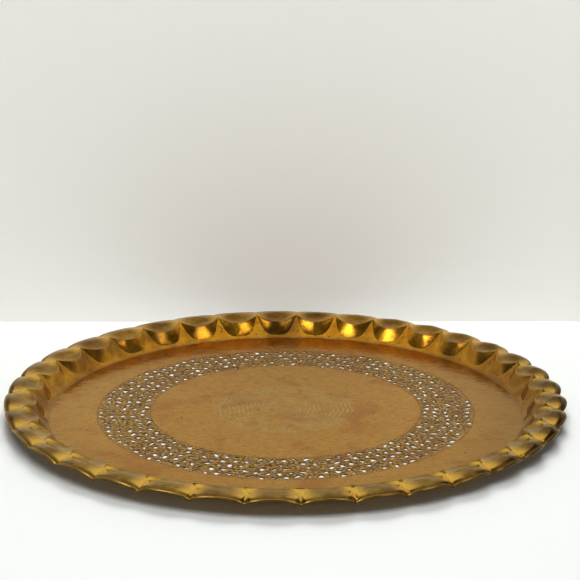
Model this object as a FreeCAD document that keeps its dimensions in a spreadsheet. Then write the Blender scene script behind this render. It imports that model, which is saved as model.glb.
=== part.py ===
"""A round brass serving tray, raised from one disc of sheet: a flat floor with a pierced band, a wall and
flange pinched into scallops, and an outer edge rolled round a stiffening wire.

Millimetres, +Z up. The origin is the centre of the underside of the floor, which the tray stands on.
"""

import FreeCAD, Part

import math
import os

import Sketcher

doc = FreeCAD.newDocument("brass_tray")

# ---------------------------------------------------------------- driving dimensions
SIZES = [
    ("gauge", 0.9, "thickness of the sheet"),
    ("floor_radius", 252.0, "plain flat part of the floor"),
    ("foot_radius", 253.5, "where the floor turns up into the wall"),
    ("panel_foot_radius", 258.0, "foot of the hollow panel at the middle of a scallop"),
    ("panel_foot_height", 3.3, "its height above the table"),
    ("crest_radius", 266.0, "inner edge of the flange at the middle of a scallop"),
    ("crest_height", 18.6, "its height above the table"),
    ("peak_radius", 277.0, "pinched peak between two scallops"),
    ("peak_height", 24.2, "its height above the table"),
    ("bead_radius", 298.5, "middle of the rolled edge at the middle of a scallop"),
    ("bead_height", 19.4, "its height above the table"),
    ("pinch_radius", 296.2, "middle of the rolled edge at the pinch"),
    ("pinch_height", 15.2, "its height above the table"),
    ("roll_radius", 1.45, "outside radius of the rolled edge"),
    ("bore_radius", 0.6, "inside radius of the rolled edge"),
    ("wire_radius", 0.5, "radius of the stiffening wire"),
    ("scallops", 36, "scallops round the rim"),
    ("motifs", 36, "repeats of the pierced motif"),
    ("band_inner", 150.0, "inner radius of the pierced band"),
    ("band_width", 46.0, "width of the pierced band"),
]
cells = doc.addObject("Spreadsheet::Sheet", "sizes")
for row, (alias, value, note) in enumerate(SIZES, start=1):
    cells.set(f"A{row}", alias)
    cells.set(f"B{row}", str(value))
    cells.setAlias(f"B{row}", alias)
    cells.set(f"C{row}", note)
doc.recompute()

SCALLOPS = int(cells.scallops)
MOTIFS = int(cells.motifs)
HALF_SCALLOP = 180.0 / SCALLOPS
# how far each section stands from the middle of its scallop (0) towards the pinch (1)
STATIONS = (-1.0, -0.88, -0.65, -0.35, 0.0, 0.35, 0.65, 0.88, 1.0)


# ---------------------------------------------------------------- ways of working
def origin_part(body, role):
    """The body's own origin plane or axis with that role."""
    return next(part for part in body.Origin.OriginFeatures if part.Role == role)


def sketch_on(body, name, role, turn=0.0):
    """A sketch on one of the body's origin planes, turned about the tray's axis by some degrees."""
    sketch = body.newObject("Sketcher::SketchObject", name)
    sketch.AttachmentSupport = [(origin_part(body, role), "")]
    sketch.MapMode = "FlatFace"
    rotation = FreeCAD.Rotation(FreeCAD.Vector(0, 1, 0), turn)
    sketch.AttachmentOffset = FreeCAD.Placement(FreeCAD.Vector(0, 0, 0), rotation)
    return sketch


def bind(sketch, kind, geometry, point, value, expression):
    """A distance from the sketch's origin to a point, driven by an expression."""
    index = sketch.addConstraint(Sketcher.Constraint(kind, -1, 1, geometry, point, value))
    sketch.setExpression(f"Constraints[{index}]", expression)


def outline(sketch, corners):
    """A closed outline of straight edges. Each corner is two expressions, across and up."""
    spots = [
        FreeCAD.Vector(float(sketch.evalExpression(x)), float(sketch.evalExpression(y)), 0)
        for x, y in corners
    ]
    first = sketch.GeometryCount
    count = len(spots)
    for i in range(count):
        sketch.addGeometry(Part.LineSegment(spots[i], spots[(i + 1) % count]))
    for i in range(count):
        after = first + (i + 1) % count
        sketch.addConstraint(Sketcher.Constraint("Coincident", first + i, 2, after, 1))
    for i, (x, y) in enumerate(corners):
        bind(sketch, "DistanceX", first + i, 1, spots[i].x, x)
        if y == "0":
            sketch.addConstraint(Sketcher.Constraint("PointOnObject", first + i, 1, -1))
        else:
            bind(sketch, "DistanceY", first + i, 1, spots[i].y, y)


def ring(sketch, x, y, radius):
    """A circle whose centre and radius are expressions."""
    centre = FreeCAD.Vector(float(sketch.evalExpression(x)), float(sketch.evalExpression(y)), 0)
    size = float(sketch.evalExpression(radius))
    index = sketch.addGeometry(Part.Circle(centre, FreeCAD.Vector(0, 0, 1), size))
    bind(sketch, "DistanceX", index, 3, centre.x, x)
    bind(sketch, "DistanceY", index, 3, centre.y, y)
    held = sketch.addConstraint(Sketcher.Constraint("Radius", index, size))
    sketch.setExpression(f"Constraints[{held}]", radius)


def quartered_ring(sketch, x, y, radius):
    """A circle as four arcs, which meet level with its centre and straight above and below it."""
    centre = FreeCAD.Vector(float(sketch.evalExpression(x)), float(sketch.evalExpression(y)), 0)
    size = float(sketch.evalExpression(radius))
    circle = Part.Circle(centre, FreeCAD.Vector(0, 0, 1), size)
    for quarter in range(4):
        start = quarter * math.pi / 2
        index = sketch.addGeometry(Part.ArcOfCircle(circle, start, start + math.pi / 2))
        bind(sketch, "DistanceX", index, 3, centre.x, x)
        bind(sketch, "DistanceY", index, 3, centre.y, y)
        held = sketch.addConstraint(Sketcher.Constraint("Radius", index, size))
        sketch.setExpression(f"Constraints[{held}]", radius)
        level, upright = (1, 2) if quarter % 2 == 0 else (2, 1)
        sketch.addConstraint(Sketcher.Constraint("Horizontal", index, 3, index, level))
        sketch.addConstraint(Sketcher.Constraint("Vertical", index, 3, index, upright))


def loft_round(body, name, sections):
    """One scallop lofted through its sections, then repeated all round the rim."""
    loft = body.newObject("PartDesign::AdditiveLoft", name)
    loft.Profile = sections[0]
    loft.Sections = sections[1:]
    loft.Refine = False
    repeat_round(body, loft, "scallops", SCALLOPS)


def repeat_round(body, feature, alias, count):
    """A polar pattern of a feature about the tray's axis."""
    pattern = body.newObject("PartDesign::PolarPattern", f"{feature.Name}_all_round")
    pattern.Originals = [feature]
    pattern.Axis = (origin_part(body, "Z_Axis"), [""])
    pattern.Angle = 360
    pattern.Occurrences = count
    pattern.setExpression("Occurrences", f"sizes.{alias}")
    pattern.Refine = False
    body.Tip = pattern


# ---------------------------------------------------------------- how a section changes along a scallop
def towards(start, end, share):
    """A size that goes from one cell's value to another's."""
    return f"sizes.{start} + (sizes.{end} - sizes.{start}) * {share:.4f}"


def bead_at(station):
    """Centre of the rolled edge: it swings in and down at each pinch."""
    swing = station**2 * (2 - station**2)
    return towards("bead_radius", "pinch_radius", swing), towards("bead_height", "pinch_height", swing)


def sheet_section(sketch, station):
    """The sheet from the floor, up the hollow panel, over the crest and out to the rolled edge."""
    rise = 0.95 * station**4
    sweep = station**2
    foot = towards("panel_foot_radius", "peak_radius", rise)
    foot_height = towards("panel_foot_height", "peak_height", rise)
    crest = towards("crest_radius", "peak_radius", sweep)
    crest_height = towards("crest_height", "peak_height", sweep)
    bead, bead_height = bead_at(station)
    outline(
        sketch,
        [
            ("sizes.floor_radius - 3", "0"),
            ("sizes.foot_radius + 0.3", "0"),
            (f"{foot} + 0.6 * sizes.gauge", f"{foot_height} - 0.8 * sizes.gauge"),
            (f"{crest} + 0.3 * sizes.gauge", f"{crest_height} - 1.1 * sizes.gauge"),
            (f"{bead} - 0.55 * sizes.roll_radius", f"{bead_height} + 0.2 * sizes.roll_radius"),
            (f"{bead} - 0.3 * sizes.roll_radius", f"{bead_height} + 0.8 * sizes.roll_radius"),
            (crest, crest_height),
            (foot, foot_height),
            ("sizes.foot_radius", "sizes.gauge"),
            ("sizes.floor_radius - 3", "sizes.gauge"),
        ],
    )


# ---------------------------------------------------------------- the sheet
# One motif of the band: each opening's corners, as shares of the band's width and of the motif's length.
OPENINGS = [
    ((0.80, 0.10), (0.98, 0.16), (0.96, 0.34)),
    ((0.74, 0.56), (0.97, 0.60), (0.88, 0.80)),
    ((0.44, 0.28), (0.62, 0.22), (0.66, 0.36), (0.50, 0.44)),
    ((0.42, 0.78), (0.50, 0.70), (0.66, 0.86), (0.56, 0.92)),
    ((0.04, 0.12), (0.10, 0.10), (0.12, 0.34), (0.30, 0.42), (0.28, 0.50), (0.05, 0.44)),
    ((0.08, 0.66), (0.30, 0.74), (0.10, 0.88)),
]


def polar(across, along):
    """The place of a corner of an opening, as two expressions."""
    radius = f"(sizes.band_inner + sizes.band_width * {across})"
    angle = f"({along} * 360 / sizes.motifs * 1 deg)"
    return f"{radius} * cos({angle})", f"{radius} * sin({angle})"


tray = doc.addObject("PartDesign::Body", "tray_sheet")
tray.Label = "tray_sheet"

floor_outline = sketch_on(tray, "floor_outline", "XY_Plane")
disc = floor_outline.addGeometry(
    Part.Circle(FreeCAD.Vector(0, 0, 0), FreeCAD.Vector(0, 0, 1), cells.floor_radius)
)
floor_outline.addConstraint(Sketcher.Constraint("Coincident", disc, 3, -1, 1))
held = floor_outline.addConstraint(Sketcher.Constraint("Radius", disc, cells.floor_radius))
floor_outline.setExpression(f"Constraints[{held}]", "sizes.floor_radius")
floor = tray.newObject("PartDesign::Pad", "floor")
floor.Profile = floor_outline
floor.Length = cells.gauge
floor.setExpression("Length", "sizes.gauge")
doc.recompute()
whole_floor = floor.Shape.Volume

motif = sketch_on(tray, "motif", "XY_Plane")
for opening in OPENINGS:
    outline(motif, [polar(across, along) for across, along in opening])
piercing = tray.newObject("PartDesign::Pocket", "piercing")
piercing.Profile = motif
piercing.Type = "ThroughAll"
piercing.Midplane = True
piercing.Refine = False
repeat_round(tray, piercing, "motifs", MOTIFS)
doc.recompute()
if tray.Shape.Volume > whole_floor - 1:
    raise RuntimeError("the piercing cut nothing")

sections = []
for number, station in enumerate(STATIONS, start=1):
    section = sketch_on(tray, f"sheet_section_{number}", "XZ_Plane", station * HALF_SCALLOP)
    sheet_section(section, station)
    sections.append(section)
loft_round(tray, "scallop", sections)

rolls = []
for number, station in enumerate(STATIONS, start=1):
    roll = sketch_on(tray, f"roll_section_{number}", "XZ_Plane", station * HALF_SCALLOP)
    bead, bead_height = bead_at(station)
    ring(roll, bead, bead_height, "sizes.roll_radius")
    ring(roll, bead, bead_height, "sizes.bore_radius")
    rolls.append(roll)
loft_round(tray, "rolled_edge", rolls)

# ---------------------------------------------------------------- the wire inside the rolled edge
wire = doc.addObject("PartDesign::Body", "rim_wire")
wire.Label = "rim_wire"
wire_sections = []
for number, station in enumerate(STATIONS, start=1):
    section = sketch_on(wire, f"wire_section_{number}", "XZ_Plane", station * HALF_SCALLOP)
    bead, bead_height = bead_at(station)
    quartered_ring(section, bead, bead_height, "sizes.wire_radius")
    wire_sections.append(section)
loft_round(wire, "wire_length", wire_sections)

# ---------------------------------------------------------------- check and write
doc.recompute()
for thing in doc.Objects:
    if "Invalid" in thing.State or "Error" in thing.State:
        raise RuntimeError(f"{thing.Name} failed: {thing.State}")
os.makedirs("parts", exist_ok=True)
for piece in (tray, wire):
    piece.Placement = FreeCAD.Placement()
    shape = piece.Shape
    if shape.isNull() or not shape.isValid() or len(shape.Solids) != 1:
        raise RuntimeError(f"{piece.Label} is not one valid solid")
    shape.exportStep(f"parts/{piece.Label}.step")
    box = shape.BoundBox
    print(f"{piece.Label}: {shape.Volume:.0f} mm3, {box.XLength:.1f} x {box.YLength:.1f} x {box.ZLength:.1f}")
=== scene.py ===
"""A round brass serving tray with a pierced floor and a pinched rim, standing on a plain pale table.

The tray is raised from one disc of sheet brass, and its edge is rolled round a wire.
"""

import math
import random

import bmesh
import bpy
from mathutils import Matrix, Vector, noise


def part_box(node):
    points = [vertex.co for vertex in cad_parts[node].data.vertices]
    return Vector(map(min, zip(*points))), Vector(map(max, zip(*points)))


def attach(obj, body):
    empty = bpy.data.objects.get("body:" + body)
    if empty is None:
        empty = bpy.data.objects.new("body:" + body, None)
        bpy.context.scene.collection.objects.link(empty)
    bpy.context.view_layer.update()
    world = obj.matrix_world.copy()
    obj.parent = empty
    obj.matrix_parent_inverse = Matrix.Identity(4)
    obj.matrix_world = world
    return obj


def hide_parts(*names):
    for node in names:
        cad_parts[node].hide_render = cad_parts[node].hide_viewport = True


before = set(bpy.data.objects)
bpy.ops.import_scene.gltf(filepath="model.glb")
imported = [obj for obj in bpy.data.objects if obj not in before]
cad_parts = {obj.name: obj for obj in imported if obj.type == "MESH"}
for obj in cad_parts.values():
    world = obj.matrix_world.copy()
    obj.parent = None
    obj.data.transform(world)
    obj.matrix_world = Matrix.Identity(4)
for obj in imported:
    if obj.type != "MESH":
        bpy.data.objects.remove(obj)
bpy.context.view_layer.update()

# ---------------------------------------------------------------- the tray's sheet
# One disc of sheet brass, hammered up into a wall and a flange. The rim is pinched in from outside at even
# steps, so each scallop is a hollow panel below and a dished leaf above. The edge is rolled round a wire.
# Sizes are in millimetres from here on, and a finished mesh is scaled to metres once.
MILLIMETRE = 0.001
sheet_low, sheet_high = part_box("tray_sheet")
OUTER = sheet_high.x / MILLIMETRE
GAUGE = 0.9
FOOT = 0.845 * OUTER
SCALLOPS = 36
STEPS_PER_SCALLOP = 20
COLUMNS = SCALLOPS * STEPS_PER_SCALLOP
PINCH_POINT = 0.025
GATHERED = math.radians(2.7)

# the section's corners in shares of OUTER: how far out, and how high above the floor
FLOOR_RINGS = (0.683, 0.715, 0.75, 0.79, 0.82, 0.837)
RIDGE_OPEN = (0.860, 0.008)
RIDGE_PINCHED = (0.9205, 0.0722)
CREST_OPEN = (0.887, 0.059)
CREST_PINCHED = (0.9255, 0.0762)
BEAD_HEIGHT = 0.0640
PANEL_HOLLOW = 0.2

# the rolled edge: its radius, where the flange runs into it, and how it turns, in degrees
ROLL = 1.42
ROLL_START = 118
ROLL_STEP = 24
ROLL_ROWS = 12

DENT = 0.5
DENT_GRAIN = 14
DENT_SEED = 36

# rows of the section, counted from the pierced band out to the end of the roll
FOOT_ROW = 7
FIRST_RAISED = 9
CREST_ROW = 21
FAN_ROWS = range(24, 31)
FIRST_ROLLED = 32
LAST_ROW = FIRST_ROLLED + ROLL_ROWS - 1
INSIDE_ROLL = range(37, LAST_ROW + 1)
# rows that cloths and hands rub bright, with painted highlights on the fans and the bead's top; rows where
# dirt and painted shade gather; and the leaves' outer rows, painted in shade on the side that is rubbed
# least, the right
WORN_AND_HIGHLIT = {13: 0.5, 14: 0.5, 20: 0.5, 21: 0.7, 22: 0.5, 33: 0.3, 34: 0.6, 35: 0.5}
# grime and painted shade: dirt in the foot corner, and painted shade past the crest, on the leaves' outer
# rows, by the roll and inside it
GRIME_AND_SHADE = {6: 0.2, 7: 0.4, 8: 0.3, 23: 0.4, 24: 0.2, 27: 0.2, 28: 0.5, 29: 0.75, 30: 0.9, 31: 1.0}
GRIME_AND_SHADE.update({32: 1.0, 33: 0.5, 36: 0.3})
GRIME_AND_SHADE.update({row: 1.0 for row in INSIDE_ROLL})
# painted shade on the leaves' outer rows, on the right side, which cloths reach least
UNRUBBED_AND_SHADED = {25: 0.4, 26: 0.75}
UNRUBBED_AND_SHADED.update({row: 1.0 for row in range(27, 37)})


def between(start, end, share):
    """The value that lies a share of the way from start to end; start and end may be points."""
    if isinstance(start, tuple):
        return tuple(a + (b - a) * share for a, b in zip(start, end))
    return start + (end - start) * share


def bow(start, pull, end, share):
    """A point on the curve from start to end that pull draws towards itself."""
    return between(between(start, pull, share), between(pull, end, share), share)


def rounded(before, corner, after, radius, count):
    """Points round a worn corner, from one of its sides to the other."""
    reach_in = min(0.45, radius / math.dist(before, corner))
    reach_out = min(0.45, radius / math.dist(corner, after))
    start = between(corner, before, reach_in)
    end = between(corner, after, reach_out)
    return [bow(start, corner, end, i / (count - 1)) for i in range(count)]


def on_section(shares):
    """A corner of the section, in millimetres, from its shares of OUTER."""
    return shares[0] * OUTER, GAUGE + shares[1] * OUTER


def bead(pinch, way):
    """Centre of the rolled edge. It swings in and sags at each pinch, more on some sides than on others."""
    swing = (1 - math.sqrt(1 - 0.96 * pinch * pinch)) / 0.8
    notch = 0.013 + 0.009 * math.cos(way)
    sink = 0.0105 - 0.0100 * math.sin(way)
    droop = 0.010 * max(0, math.cos(way))
    radius = OUTER - ROLL - notch * OUTER * swing
    height = GAUGE + (BEAD_HEIGHT - droop - sink * swing) * OUTER
    return radius, height


def on_roll(centre, turn):
    """A point on the rolled edge, turned some degrees up from facing outwards."""
    angle = math.radians(turn)
    return centre[0] + ROLL * math.cos(angle), centre[1] + ROLL * math.sin(angle)


def section(pinch, way):
    """The sheet's upper face from the band out to the end of the roll, at 0 (mid scallop) to 1 (pinch)."""
    foot = (FOOT, GAUGE)
    ridge = on_section(between(RIDGE_OPEN, RIDGE_PINCHED, pinch**4))
    crest = on_section(between(CREST_OPEN, CREST_PINCHED, pinch**2))
    centre = bead(pinch, way)
    join = on_roll(centre, ROLL_START)
    open_share = (1 - pinch) ** 0.7

    def on_leaf(out, up, along):
        """A point of the leaf: shares of OUTER at mid scallop, and a share of crest to join at a pinch."""
        radius, open_height = on_section((out, up))
        return radius, between(between(crest[1], join[1], along), open_height, open_share)

    dish_pull = on_leaf(0.925, 0.0560, 0.3)
    shoulder = on_leaf(0.950, 0.0745, 0.6)
    shoulder_pull = on_leaf(0.982, 0.0760, 0.8)

    rows = [(share * OUTER, GAUGE) for share in FLOOR_RINGS]
    rows += rounded(rows[-1], foot, ridge, 1.2, 3)
    rows += [between(foot, ridge, share) for share in (0.25, 0.5, 0.75)]
    rows += rounded(foot, ridge, crest, 0.8, 4)
    for share in (0.2, 0.4, 0.6, 0.8):
        radius, height = between(ridge, crest, share)
        rows.append((radius + PANEL_HOLLOW * (1 - pinch**2) * math.sin(math.pi * share), height))
    rows += rounded(ridge, crest, dish_pull, 0.9, 4)
    rows += [bow(crest, dish_pull, shoulder, share) for share in (0.2, 0.4, 0.6, 0.8, 1.0)]
    rows += [bow(shoulder, shoulder_pull, join, share) for share in (0.25, 0.5, 0.75)]
    rows += [on_roll(centre, ROLL_START - ROLL_STEP * step) for step in range(ROLL_ROWS)]
    return rows


def place_of(column):
    """Where a column of the sheet stands: its direction round the tray, and how pinched it is."""
    scallop = column / STEPS_PER_SCALLOP
    past_middle = scallop - math.floor(scallop) - 0.5
    # columns stand closer together towards a pinch
    pinch = 1 - (1 - 2 * abs(past_middle)) ** 1.5
    side = 1 if past_middle >= 0 else -1
    middle = 2 * math.pi * (math.floor(scallop) + 0.5) / SCALLOPS
    turn = middle + side * pinch * math.pi / SCALLOPS
    way = turn - GATHERED * math.sin(turn)
    soft_pinch = 1 - (math.hypot(1 - pinch, PINCH_POINT) - PINCH_POINT)
    return way, soft_pinch


def wear_and_highlight_of(row, pinch):
    """How bright a spot is worn and highlit: the ridges and edges, and a painted highlight on the fan at each
    pinch.
    """
    # a painted highlight on the fan at each pinch
    if row in FAN_ROWS:
        return min(1, max(0, 2.2 * pinch - 1))
    return WORN_AND_HIGHLIT.get(row, 0) * (0.5 + 0.5 * pinch)


def dirt_and_shade_of(row, pinch, way, rubbed_and_lit):
    """How much grime and painted shade a spot holds: most at mid scallop, at the tray's left and right, and
    on the side that cloths reach least.
    """
    dirt_and_shade = between(UNRUBBED_AND_SHADED.get(row, GRIME_AND_SHADE.get(row, 0)), GRIME_AND_SHADE.get(row, 0), rubbed_and_lit)
    # the fans at the pinches hold less, so their painted highlight shows
    if row in FAN_ROWS:
        dirt_and_shade *= 1 - 0.7 * pinch
    if row < FIRST_ROLLED:
        # painted shade: the flange is darker at the tray's left and right sides than at its near and far
        # sides
        dirt_and_shade *= 1 - 0.55 * abs(math.sin(way))
    return dirt_and_shade


def raise_rim(blank):
    """Raises a flat blank, whose rows lie one unit apart, into the wall, the scallops and the rolled edge."""
    worn_and_highlit_layer = blank.verts.layers.float.new("worn")
    grime_and_shade_layer = blank.verts.layers.float.new("grime_and_shade")
    wall_layer = blank.verts.layers.float.new("walled")
    columns = {}
    for vertex in blank.verts:
        row = round(math.hypot(vertex.co.x, vertex.co.y)) - 1
        turn = math.atan2(vertex.co.y, vertex.co.x)
        column = round(turn / (2 * math.pi) * COLUMNS) % COLUMNS
        if column not in columns:
            way, pinch = place_of(column)
            columns[column] = (way, pinch, section(pinch, way))
        way, pinch, rows = columns[column]
        radius, height = rows[row]
        # how rubbed and how lit each side is: highest on the left and the near side, lowest on the right,
        # where painted shade darkens the leaves' outer rows
        rubbed_and_lit = min(1, 0.5 - 0.5 * math.cos(way) + 0.35 * max(0, -math.sin(way)))
        vertex[worn_and_highlit_layer] = wear_and_highlight_of(row, pinch)
        # the bead's top is worn and painted with highlight most on the left and near sides
        if row >= FIRST_ROLLED:
            vertex[worn_and_highlit_layer] *= rubbed_and_lit
        vertex[grime_and_shade_layer] = dirt_and_shade_of(row, pinch, way, rubbed_and_lit)
        vertex[wall_layer] = 1 if FOOT_ROW < row < CREST_ROW else 0
        beaten = DENT * (1 - pinch) if FIRST_RAISED < row < FIRST_ROLLED else 0
        spot = Vector((radius * math.cos(way), radius * math.sin(way), height))
        vertex.co = spot + noise.noise_vector(spot / DENT_GRAIN) * beaten


def spin_round(work, geometry, steps):
    """Turns a strip of vertices and edges once round the tray's axis into faces."""
    bmesh.ops.spin(
        work,
        geom=geometry,
        cent=(0, 0, 0),
        axis=(0, 0, 1),
        angle=2 * math.pi,
        steps=steps,
        use_merge=True,
    )


sheet = bmesh.new()
start = [sheet.verts.new((row + 1, 0, 0)) for row in range(LAST_ROW + 1)]
strip = [sheet.edges.new(pair) for pair in zip(start, start[1:])]
spin_round(sheet, start + strip, COLUMNS)
# the dents start from the same seed every time
noise.seed_set(DENT_SEED)
raise_rim(sheet)
bmesh.ops.recalc_face_normals(sheet, faces=sheet.faces)

# The plain middle of the floor: a spun disc that closes on the tray's centre.
PIERCED_INNER = 0.477 * OUTER
DISC_COLUMNS = 240
DISC_ROWS = 9
spoke = [sheet.verts.new((PIERCED_INNER * row / DISC_ROWS, 0, GAUGE)) for row in range(DISC_ROWS + 1)]
spoke_edges = [sheet.edges.new(pair) for pair in zip(spoke, spoke[1:])]
spin_round(sheet, spoke + spoke_edges, DISC_COLUMNS)
bmesh.ops.remove_doubles(sheet, verts=sheet.verts, dist=0.02)

# The pierced band: five rows of small openings that swing in and out like garlands. Each opening is sawn by
# hand, so no two are alike, and here and there one is left out.
chance = random.Random(36)
PIERCED_ROWS = 5
FIRST_PIERCED = 0.505
ROW_SPACING = 0.0375
PIERCED_PITCH = 11.4
GARLANDS = 18
GARLAND_SWING = 2.5
SAWN_SHARE = 0.88
OPENING_SIDES = 12


def opening(work, radius, way, long, wide, corners, turn):
    """The outline of one opening: a soft-cornered triangle, leaf or hooked slit."""
    made = bmesh.ops.create_circle(work, cap_ends=False, segments=OPENING_SIDES, radius=1)
    cos_turn, sin_turn = math.cos(turn), math.sin(turn)
    bend = chance.uniform(-0.25, 0.25)
    for vertex in made["verts"]:
        angle = math.atan2(vertex.co.y, vertex.co.x)
        # the sides draw in to 0.74 of the size, and the corners reach out to 1.34
        reach = 0.74 + 0.60 * (0.5 + 0.5 * math.cos(corners * angle)) ** 1.4
        across = long * reach * math.cos(angle)
        along = wide * reach * math.sin(angle) + bend * across * across / long
        x = radius + across * cos_turn - along * sin_turn
        y = across * sin_turn + along * cos_turn
        vertex.co = (
            x * math.cos(way) - y * math.sin(way),
            x * math.sin(way) + y * math.cos(way),
            GAUGE,
        )
    return list({edge for vertex in made["verts"] for edge in vertex.link_edges})


outline = [
    edge
    for edge in sheet.edges
    if edge.is_boundary and abs(edge.verts[0].co.z - GAUGE) < 0.01 and edge.verts[0].co.length < FOOT
]
for row in range(PIERCED_ROWS):
    row_radius = (FIRST_PIERCED + ROW_SPACING * row) * OUTER
    count = round(2 * math.pi * row_radius / PIERCED_PITCH)
    for number in range(count):
        way = 2 * math.pi * (number + chance.uniform(-0.04, 0.04)) / count
        reach = row_radius + chance.uniform(-0.4, 0.4) + GARLAND_SWING * math.sin(GARLANDS * way)
        long = chance.uniform(2.7, 3.75)
        wide = long * chance.uniform(0.5, 1.0)
        corners = chance.choice((2, 3, 3))
        turn = chance.uniform(0, 2 * math.pi)
        if chance.random() < SAWN_SHARE:
            outline += opening(sheet, reach, way, long, wide, corners, turn)
bmesh.ops.triangle_fill(sheet, edges=outline, use_beauty=True, normal=(0, 0, 1))
bmesh.ops.recalc_face_normals(sheet, faces=sheet.faces)
bmesh.ops.scale(sheet, vec=(MILLIMETRE,) * 3, verts=sheet.verts)
for face in sheet.faces:
    face.smooth = True
for edge in sheet.edges:
    edge.smooth = not edge.is_boundary

tray_mesh = bpy.data.meshes.new("worked_sheet")
sheet.to_mesh(tray_mesh)
sheet.free()
tray = bpy.data.objects.new("worked_sheet", tray_mesh)
bpy.context.collection.objects.link(tray)
thickness = tray.modifiers.new("gauge", "SOLIDIFY")
thickness.thickness = GAUGE * MILLIMETRE
thickness.offset = -1
thickness.material_offset_rim = 1


# Brass sheet, polished with a rag and worn: a warm mirror blurred by fine scratches, browner where it is not
# rubbed, paler on the ridges that cloths and hands reach. Its colour also holds painted light: a lighter far
# side, painted highlights and glints, and painted shade towards and on the rim.
EASED = {"interpolation_type": "SMOOTHSTEP"}
COLOURS = {"data_type": "RGBA"}
MULTIPLY = {"operation": "MULTIPLY"}
SINE = {"operation": "SINE"}


def add(tree, kind, settings, links, output=0):
    """Adds a shader node and gives one of its outputs. A link is another node's output or a plain value."""
    node = tree.nodes.new(kind)
    for name, value in settings.items():
        setattr(node, name, value)
    for socket, value in links.items():
        if isinstance(value, bpy.types.NodeSocket):
            tree.links.new(value, node.inputs[socket])
        else:
            node.inputs[socket].default_value = value
    return node.outputs[output]


def linear(hexcode):
    """An sRGB hex colour as linear red, green, blue and alpha."""
    shares = [int(hexcode[i : i + 2], 16) / 255 for i in (1, 3, 5)]
    return [c / 12.92 if c <= 0.04045 else ((c + 0.055) / 1.055) ** 2.4 for c in shares] + [1]


def cloud(tree, place, grain_mm, detail=3.0, stretch=(1, 1, 1), roughness=0.55):
    """Soft random variation with a grain of about so many millimetres."""
    stretched = add(tree, "ShaderNodeVectorMath", MULTIPLY, {0: place, 1: stretch})
    scale = 1 / (grain_mm * MILLIMETRE)
    links = {"Vector": stretched, "Scale": scale, "Detail": detail, "Roughness": roughness}
    return add(tree, "ShaderNodeTexNoise", {}, links)


brass = bpy.data.materials.new("rag_polished_sheet_brass")
brass.use_nodes = True
tree = brass.node_tree
shader = tree.nodes["Principled BSDF"]
shader.inputs["Metallic"].default_value = 1
shader.inputs["Specular Tint"].default_value = linear("#FFF3DC")
R = OUTER * MILLIMETRE
place = add(tree, "ShaderNodeTexCoord", {}, {}, "Object")
flat_place = add(tree, "ShaderNodeVectorMath", MULTIPLY, {0: place, 1: (1, 1, 0)})
from_axis = add(tree, "ShaderNodeVectorMath", {"operation": "LENGTH"}, {0: flat_place}, "Value")
across = add(tree, "ShaderNodeSeparateXYZ", {}, {0: place}, "X")
deep = add(tree, "ShaderNodeSeparateXYZ", {}, {0: place}, "Y")
heading = add(tree, "ShaderNodeMath", {"operation": "ARCTAN2"}, {0: deep, 1: across})
# the worn attribute: wear on the ridges and edges, and painted highlights on the fans and the bead's top
worn = add(tree, "ShaderNodeAttribute", {"attribute_name": "worn"}, {}, "Fac")
grime_and_shade = add(tree, "ShaderNodeAttribute", {"attribute_name": "grime_and_shade"}, {}, "Fac")
walled = add(tree, "ShaderNodeAttribute", {"attribute_name": "walled"}, {}, "Fac")

# rubbing streaks from right to left, as the rag goes; real ones are finer, and would not show from afar
streaks = cloud(tree, place, 9, 4, (1, 6, 1))
fine_streaks = cloud(tree, place, 3, 3, (0.7, 6, 1))
blotches = cloud(tree, place, 55, 4)
small_blotches = cloud(tree, place, 14, 4)

# painted light: the far wall and flange are painted lighter and more golden than the near ones, which are
# more olive; the floor is browner
painted_light_far_side = add(tree, "ShaderNodeMapRange", EASED, {0: deep, 1: -0.12, 2: 0.26})
on_rim = add(tree, "ShaderNodeMapRange", EASED, {0: from_axis, 1: 0.84 * R, 2: 0.862 * R})
toned = {}
for zone, variation, low, high, dark, light in (
    ("floor", streaks, 0.25, 0.78, "#A5752C", "#CE9D4E"),
    ("near_wall", small_blotches, 0.38, 0.66, "#8E6826", "#C09238"),
    ("far_wall", small_blotches, 0.38, 0.66, "#D68C16", "#F0AC26"),
    ("near_flange", small_blotches, 0.36, 0.66, "#866A2C", "#C09A40"),
    ("far_flange", small_blotches, 0.36, 0.66, "#90682A", "#CA9A3C"),
):
    share = add(tree, "ShaderNodeMapRange", EASED, {0: variation, 1: low, 2: high})
    toned[zone] = add(tree, "ShaderNodeMix", COLOURS, {0: share, 6: linear(dark), 7: linear(light)}, 2)
wall_links = {0: painted_light_far_side, 6: toned["near_wall"], 7: toned["far_wall"]}
wall_colour = add(tree, "ShaderNodeMix", COLOURS, wall_links, 2)
flange_links = {0: painted_light_far_side, 6: toned["near_flange"], 7: toned["far_flange"]}
flange_colour = add(tree, "ShaderNodeMix", COLOURS, flange_links, 2)
rim_colour = add(tree, "ShaderNodeMix", COLOURS, {0: walled, 6: flange_colour, 7: wall_colour}, 2)


def coat(under, cover, strength, hexcode):
    """A colour with another laid over it, where and as strongly as the cover says."""
    share = add(tree, "ShaderNodeMath", MULTIPLY, {0: cover, 1: strength})
    return add(tree, "ShaderNodeMix", COLOURS, {0: share, 6: under, 7: linear(hexcode)}, 2)


floor_patches = add(tree, "ShaderNodeMapRange", EASED, {0: blotches, 1: 0.48, 2: 0.66})
rim_patches = add(tree, "ShaderNodeMapRange", EASED, {0: blotches, 1: 0.46, 2: 0.62})
floor_colour = coat(toned["floor"], floor_patches, 0.75, "#A8682A")
rim_colour = coat(rim_colour, rim_patches, 0.7, "#6A421C")
colour = add(tree, "ShaderNodeMix", COLOURS, {0: on_rim, 6: floor_colour, 7: rim_colour}, 2)

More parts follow.
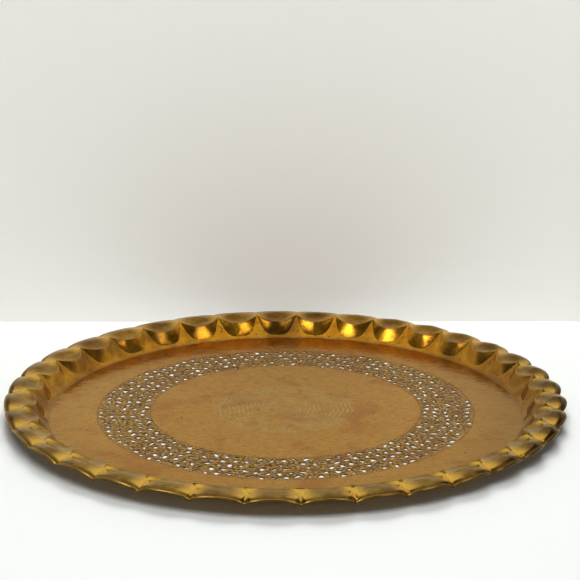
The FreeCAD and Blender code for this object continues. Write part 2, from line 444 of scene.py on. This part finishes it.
# chased scrolls between the openings: arcs 4.6 mm apart, curling round points 13 mm apart
band_start = add(tree, "ShaderNodeMapRange", EASED, {0: from_axis, 1: 0.470 * R, 2: 0.505 * R})
band_end = add(tree, "ShaderNodeMapRange", EASED, {0: from_axis, 1: 0.690 * R, 2: 0.645 * R})
in_band = add(tree, "ShaderNodeMath", MULTIPLY, {0: band_start, 1: band_end})
wander = add(tree, "ShaderNodeTexNoise", {}, {"Vector": place, "Scale": 1 / 0.011}, "Color")
warp_links = {0: wander, 1: (0.006, 0.006, 0.006), 2: flat_place}
warp = add(tree, "ShaderNodeVectorMath", {"operation": "MULTIPLY_ADD"}, warp_links)
curl_links = {"Vector": warp, "Scale": 1 / 0.013}
curls = add(tree, "ShaderNodeTexVoronoi", {"voronoi_dimensions": "2D"}, curl_links, "Distance")
curl_turns = add(tree, "ShaderNodeMath", MULTIPLY, {0: curls, 1: 2 * math.pi * 13 / 4.6})
arcs = add(tree, "ShaderNodeMath", SINE, {0: curl_turns})
arc_lines = add(tree, "ShaderNodeMapRange", EASED, {0: arcs, 1: 0.25, 2: 0.75})
chased = add(tree, "ShaderNodeMath", MULTIPLY, {0: arc_lines, 1: in_band})


def dotted_ring(share, dots):
    """A ring of punched dots round the tray, each about 0.9 mm wide."""
    past = add(tree, "ShaderNodeMath", {"operation": "SUBTRACT"}, {0: from_axis, 1: share * R})
    off = add(tree, "ShaderNodeMath", {"operation": "ABSOLUTE"}, {0: past})
    on_ring = add(tree, "ShaderNodeMapRange", EASED, {0: off, 1: 0.9 * MILLIMETRE, 2: 0.36 * MILLIMETRE})
    turns = add(tree, "ShaderNodeMath", MULTIPLY, {0: heading, 1: dots})
    wave = add(tree, "ShaderNodeMath", SINE, {0: turns})
    spaced = add(tree, "ShaderNodeMapRange", EASED, {0: wave, 1: 0.0, 2: 0.7})
    return add(tree, "ShaderNodeMath", MULTIPLY, {0: on_ring, 1: spaced})


ring_links = {0: dotted_ring(0.486, 260), 1: dotted_ring(0.674, 360)}
punched = add(tree, "ShaderNodeMath", {"operation": "MAXIMUM"}, ring_links)
cut = add(tree, "ShaderNodeMath", {"operation": "MAXIMUM"}, {0: chased, 1: punched})

# the middle: a rosette of stippled rings, 5 mm apart, whose dots scallop in and out in 16 petals
petal_turns = add(tree, "ShaderNodeMath", MULTIPLY, {0: heading, 1: 16})
petal_wave = add(tree, "ShaderNodeMath", SINE, {0: petal_turns})
petals = add(tree, "ShaderNodeMath", MULTIPLY, {0: petal_wave, 1: 0.0035 * R})
petalled = add(tree, "ShaderNodeMath", {"operation": "ADD"}, {0: from_axis, 1: petals})
ring_turns = add(tree, "ShaderNodeMath", MULTIPLY, {0: petalled, 1: 2 * math.pi / 0.005})
ring_wave = add(tree, "ShaderNodeMath", SINE, {0: ring_turns})
dot_turns = add(tree, "ShaderNodeMath", MULTIPLY, {0: heading, 1: 130})
dot_wave = add(tree, "ShaderNodeMath", SINE, {0: dot_turns})
stipple_rings = add(tree, "ShaderNodeMapRange", EASED, {0: ring_wave, 1: 0.1, 2: 0.8})
stipple_dots = add(tree, "ShaderNodeMapRange", EASED, {0: dot_wave, 1: -0.3, 2: 0.6})
stipple = add(tree, "ShaderNodeMath", MULTIPLY, {0: stipple_rings, 1: stipple_dots})
rosette_end = add(tree, "ShaderNodeMapRange", EASED, {0: from_axis, 1: 0.265 * R, 2: 0.235 * R})
rosette_rubbed = add(tree, "ShaderNodeMapRange", EASED, {0: cloud(tree, place, 20, 3), 1: 0.36, 2: 0.6})
on_rosette = add(tree, "ShaderNodeMath", MULTIPLY, {0: rosette_end, 1: rosette_rubbed})
stipple = add(tree, "ShaderNodeMath", MULTIPLY, {0: stipple, 1: on_rosette})

# tarnish, dirt, marks, painted shade and painted glints, laid over the brass one after another
# painted shade: darker outwards across the outer floor, and as dark on the rim
outwards = add(tree, "ShaderNodeMapRange", EASED, {0: from_axis, 1: 0.60 * R, 2: 0.84 * R})
# darker towards the tray's right side
right_side = add(tree, "ShaderNodeMapRange", EASED, {0: across, 1: 0.40 * R, 2: 0.95 * R})
dirt_patches = add(tree, "ShaderNodeMapRange", EASED, {0: cloud(tree, place, 11, 3), 1: 0.3, 2: 0.6})
band_dirt = add(tree, "ShaderNodeMath", MULTIPLY, {0: in_band, 1: dirt_patches})
freckle_cloud = cloud(tree, place, 3.2, 2, roughness=0.4)
freckles = add(tree, "ShaderNodeMapRange", EASED, {0: freckle_cloud, 1: 0.635, 2: 0.70})
# painted glints: pale specks scattered through the band
glint_patches = add(tree, "ShaderNodeMapRange", EASED, {0: cloud(tree, place, 4.5, 2), 1: 0.58, 2: 0.66})
painted_glints = add(tree, "ShaderNodeMath", MULTIPLY, {0: in_band, 1: glint_patches})
for cover, strength, hexcode in (
    (outwards, 0.3, "#84602E"),
    (right_side, 0.5, "#6B4A28"),
    (band_dirt, 0.5, "#7F6638"),
    (freckles, 0.7, "#5A3A1A"),
    (cut, 0.85, "#30200E"),
    (painted_glints, 0.55, "#EBD9A6"),
    (on_rosette, 0.25, "#A89A5E"),
    (stipple, 0.7, "#E3CE98"),
    # dirt, and painted shade on the leaves' outer rows, by the roll and inside it
    (grime_and_shade, 0.88, "#422B15"),
):
    colour = coat(colour, cover, strength, hexcode)
# pale gold for wear, and for painted highlights on the fans and the bead's top
rubbed_and_highlit_brass_links = {0: painted_light_far_side, 6: linear("#F0C052"), 7: linear("#E6B450")}
rubbed_and_highlit_brass = add(tree, "ShaderNodeMix", COLOURS, rubbed_and_highlit_brass_links, 2)
wear_and_highlight = add(tree, "ShaderNodeMath", MULTIPLY, {0: worn, 1: 0.7})
colour = add(tree, "ShaderNodeMix", COLOURS, {0: wear_and_highlight, 6: colour, 7: rubbed_and_highlit_brass}, 2)
tree.links.new(colour, shader.inputs["Base Color"])

floor_gloss = add(tree, "ShaderNodeMapRange", {}, {0: small_blotches, 1: 0.3, 2: 0.7, 3: 0.15, 4: 0.24})
rim_gloss = add(tree, "ShaderNodeMapRange", {}, {0: small_blotches, 1: 0.3, 2: 0.7, 3: 0.17, 4: 0.28})
gloss = add(tree, "ShaderNodeMix", {}, {0: on_rim, 2: floor_gloss, 3: rim_gloss})
tree.links.new(gloss, shader.inputs["Roughness"])

# hammer marks about 15 mm across, then scratches, then the cut lines
marks = cloud(tree, place, 15, 2)
planish = add(tree, "ShaderNodeBump", {}, {"Strength": 0.6, "Distance": 0.0006, "Height": marks})
rubbed_links = {"Strength": 0.16, "Distance": 0.0001, "Height": fine_streaks, "Normal": planish}
scratched = add(tree, "ShaderNodeBump", {}, rubbed_links)
engraved_links = {"Strength": 0.8, "Distance": 0.0003, "Height": cut, "Normal": scratched}
engraved = add(tree, "ShaderNodeBump", {"invert": True}, engraved_links)
tree.links.new(engraved, shader.inputs["Normal"])

# The walls of the openings: brass as the saw left it, never rubbed, so brown and dull.
sawn = bpy.data.materials.new("sawn_brass_edge")
sawn.use_nodes = True
tree = sawn.node_tree
shader = tree.nodes["Principled BSDF"]
shader.inputs["Metallic"].default_value = 1
shader.inputs["Roughness"].default_value = 0.55
place = add(tree, "ShaderNodeTexCoord", {}, {}, "Object")
stain = add(tree, "ShaderNodeMapRange", EASED, {0: cloud(tree, place, 4, 3), 1: 0.35, 2: 0.65})
stain_links = {0: stain, 6: linear("#2E2110"), 7: linear("#6A5026")}
tree.links.new(add(tree, "ShaderNodeMix", COLOURS, stain_links, 2), shader.inputs["Base Color"])
tray_mesh.materials.append(brass)
tray_mesh.materials.append(sawn)
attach(tray, "root")
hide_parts("tray_sheet")

# ---------------------------------------------------------------- the wire in the rolled edge
# Plain iron wire, closed into a ring, which the brass edge is rolled round. It shows only in the roll's slit.
# Its round section is spun about the tray's axis first, and then laid along the rolled edge.
WIRE = 0.5
WIRE_SIDES = 8
BLANK_RADIUS = 100
wire = bmesh.new()
hoop = bmesh.ops.create_circle(wire, cap_ends=False, segments=WIRE_SIDES, radius=1)["verts"]
wire_sides = {}
for number, vertex in enumerate(hoop):
    wire_sides[number] = math.atan2(vertex.co.y, vertex.co.x)
    vertex.co = (BLANK_RADIUS + number, 0, 0)
spin_round(wire, hoop + list(wire.edges), COLUMNS)
for vertex in wire.verts:
    number = round(math.hypot(vertex.co.x, vertex.co.y)) - BLANK_RADIUS
    column = round(math.atan2(vertex.co.y, vertex.co.x) / (2 * math.pi) * COLUMNS) % COLUMNS
    way, pinch = place_of(column)
    radius, height = bead(pinch, way)
    radius += WIRE * math.cos(wire_sides[number])
    height += WIRE * math.sin(wire_sides[number])
    vertex.co = (radius * math.cos(way), radius * math.sin(way), height)
bmesh.ops.recalc_face_normals(wire, faces=wire.faces)
bmesh.ops.scale(wire, vec=(MILLIMETRE,) * 3, verts=wire.verts)
for face in wire.faces:
    face.smooth = True
wire_mesh = bpy.data.meshes.new("edge_wire")
wire.to_mesh(wire_mesh)
wire.free()
edge_wire = bpy.data.objects.new("edge_wire", wire_mesh)
bpy.context.collection.objects.link(edge_wire)

# Drawn iron: grey and smooth, with specks of brown rust where damp has stood in the roll.
iron = bpy.data.materials.new("drawn_iron_wire")
iron.use_nodes = True
tree = iron.node_tree
shader = tree.nodes["Principled BSDF"]
shader.inputs["Metallic"].default_value = 1
place = add(tree, "ShaderNodeTexCoord", {}, {}, "Object")
rust = add(tree, "ShaderNodeMapRange", EASED, {0: cloud(tree, place, 3, 4), 1: 0.5, 2: 0.62})
rust_links = {0: rust, 6: linear("#8E8A84"), 7: linear("#6B4630")}
tree.links.new(add(tree, "ShaderNodeMix", COLOURS, rust_links, 2), shader.inputs["Base Color"])
dulled = add(tree, "ShaderNodeMapRange", {}, {0: rust, 3: 0.38, 4: 0.8})
tree.links.new(dulled, shader.inputs["Roughness"])
scale_marks = cloud(tree, place, 0.8, 3)
scaled = add(tree, "ShaderNodeBump", {}, {"Strength": 0.4, "Distance": 0.00005, "Height": scale_marks})
tree.links.new(scaled, shader.inputs["Normal"])
wire_mesh.materials.append(iron)
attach(edge_wire, "root")
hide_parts("rim_wire")

# ---------------------------------------------------------------- table, wall, light and camera
# A plain white table against a plain pale wall, in soft light from above and from both sides. Both are
# painted board. The wall is seen only from its front, so that other views look past it.
TRAY_RADIUS = sheet_high.x
TABLE_SIZE = 40 * TRAY_RADIUS
TABLE_GAP = 0.0002
WALL_BEHIND = 1.08 * TRAY_RADIUS
WALL_TALL = 0.5
WALL_WIDE = 0.8


def paint(name, hexcode):
    """A dull painted surface."""
    material = bpy.data.materials.new(name)
    material.use_nodes = True
    painted = material.node_tree.nodes["Principled BSDF"]
    painted.inputs["Base Color"].default_value = linear(hexcode)
    painted.inputs["Roughness"].default_value = 0.7
    return material


def board(name, wide, tall, place, tilt, material):
    """A flat board of the setting, which is not part of the tray."""
    work = bmesh.new()
    bmesh.ops.create_grid(work, x_segments=1, y_segments=1, size=wide / 2)
    bmesh.ops.scale(work, vec=(1, tall / wide, 1), verts=work.verts)
    mesh = bpy.data.meshes.new(name)
    work.to_mesh(mesh)
    work.free()
    mesh.materials.append(material)
    thing = bpy.data.objects.new(name, mesh)
    bpy.context.collection.objects.link(thing)
    thing.location = place
    thing.rotation_euler = tilt
    return thing


table_place = (0, 0, sheet_low.z - TABLE_GAP)
board("table_top", TABLE_SIZE, TABLE_SIZE, table_place, (0, 0, 0), paint("white_table", "#DCDEDC"))
wall_paint = paint("pale_wall", "#EDECE7")
wall_tree = wall_paint.node_tree
back = add(wall_tree, "ShaderNodeNewGeometry", {}, {}, "Backfacing")
front_look = wall_tree.nodes["Principled BSDF"].outputs[0]
back_look = add(wall_tree, "ShaderNodeBsdfTransparent", {}, {})
one_sided = add(wall_tree, "ShaderNodeMixShader", {}, {0: back, 1: front_look, 2: back_look})
wall_tree.links.new(one_sided, wall_tree.nodes["Material Output"].inputs["Surface"])
wall_place = (0, WALL_BEHIND, WALL_TALL / 2 + sheet_low.z)
wall = board("wall", WALL_WIDE, WALL_TALL, wall_place, (math.radians(90), 0, 0), wall_paint)
wall.visible_shadow = False

# the room: pale all round up to eye level, and dim above it
world = bpy.data.worlds.new("room")
bpy.context.scene.world = world
world.use_nodes = True
world_tree = world.node_tree
room = world_tree.nodes["Background"]
room.inputs["Color"].default_value = linear("#FFFDF8")
looking = add(world_tree, "ShaderNodeTexCoord", {}, {}, "Generated")
upward = add(world_tree, "ShaderNodeSeparateXYZ", {}, {0: looking}, "Z")
pale_up_to = math.sin(math.radians(17))
dim_from = math.sin(math.radians(32))
room_links = {0: upward, 1: pale_up_to, 2: dim_from, 3: 0.55, 4: 0.09}
room_light = add(world_tree, "ShaderNodeMapRange", EASED, room_links)
world_tree.links.new(room_light, room.inputs["Strength"])


def softbox(name, place, size, watts):
    """A square of soft light that faces the tray."""
    data = bpy.data.lights.new(name, "AREA")
    data.shape = "SQUARE"
    data.size = size
    data.energy = watts
    light = bpy.data.objects.new(name, data)
    bpy.context.collection.objects.link(light)
    light.location = place
    direction = -light.location
    light.rotation_euler = direction.to_track_quat("-Z", "Y").to_euler()
    return light


# two lights that light dull surfaces and are not mirrored, and three that are only mirrored
softbox("key_above_and_behind", (0.0, 0.95, 2.1), 1.3, 38).visible_glossy = False
softbox("fill_in_front", (0.0, -1.3, 2.3), 1.5, 50).visible_glossy = False
softbox("ceiling", (0.0, 0.8, 2.2), 3.2, 25).visible_diffuse = False
softbox("left_window", (-1.6, -1.5, 1.5), 1.1, 21).visible_diffuse = False
softbox("right_window", (1.6, -1.5, 1.5), 1.1, 11).visible_diffuse = False

# the camera looks down at the tray, and a little past its middle
CAMERA_AWAY = 6.2 * TRAY_RADIUS
CAMERA_UP = math.radians(19.9)
CAMERA_DIP = CAMERA_UP - math.radians(3.97)
CAMERA_ASIDE = math.radians(0.15)
camera_data = bpy.data.cameras.new("camera")
camera_data.sensor_width = 36
camera_data.lens = 106.7
camera = bpy.data.objects.new("camera", camera_data)
bpy.context.collection.objects.link(camera)
camera.location = (0, -CAMERA_AWAY * math.cos(CAMERA_UP), CAMERA_AWAY * math.sin(CAMERA_UP))
camera.rotation_euler = (math.radians(90) - CAMERA_DIP, 0, -CAMERA_ASIDE)
bpy.context.scene.camera = camera
bpy.context.scene.view_settings.view_transform = "Standard"
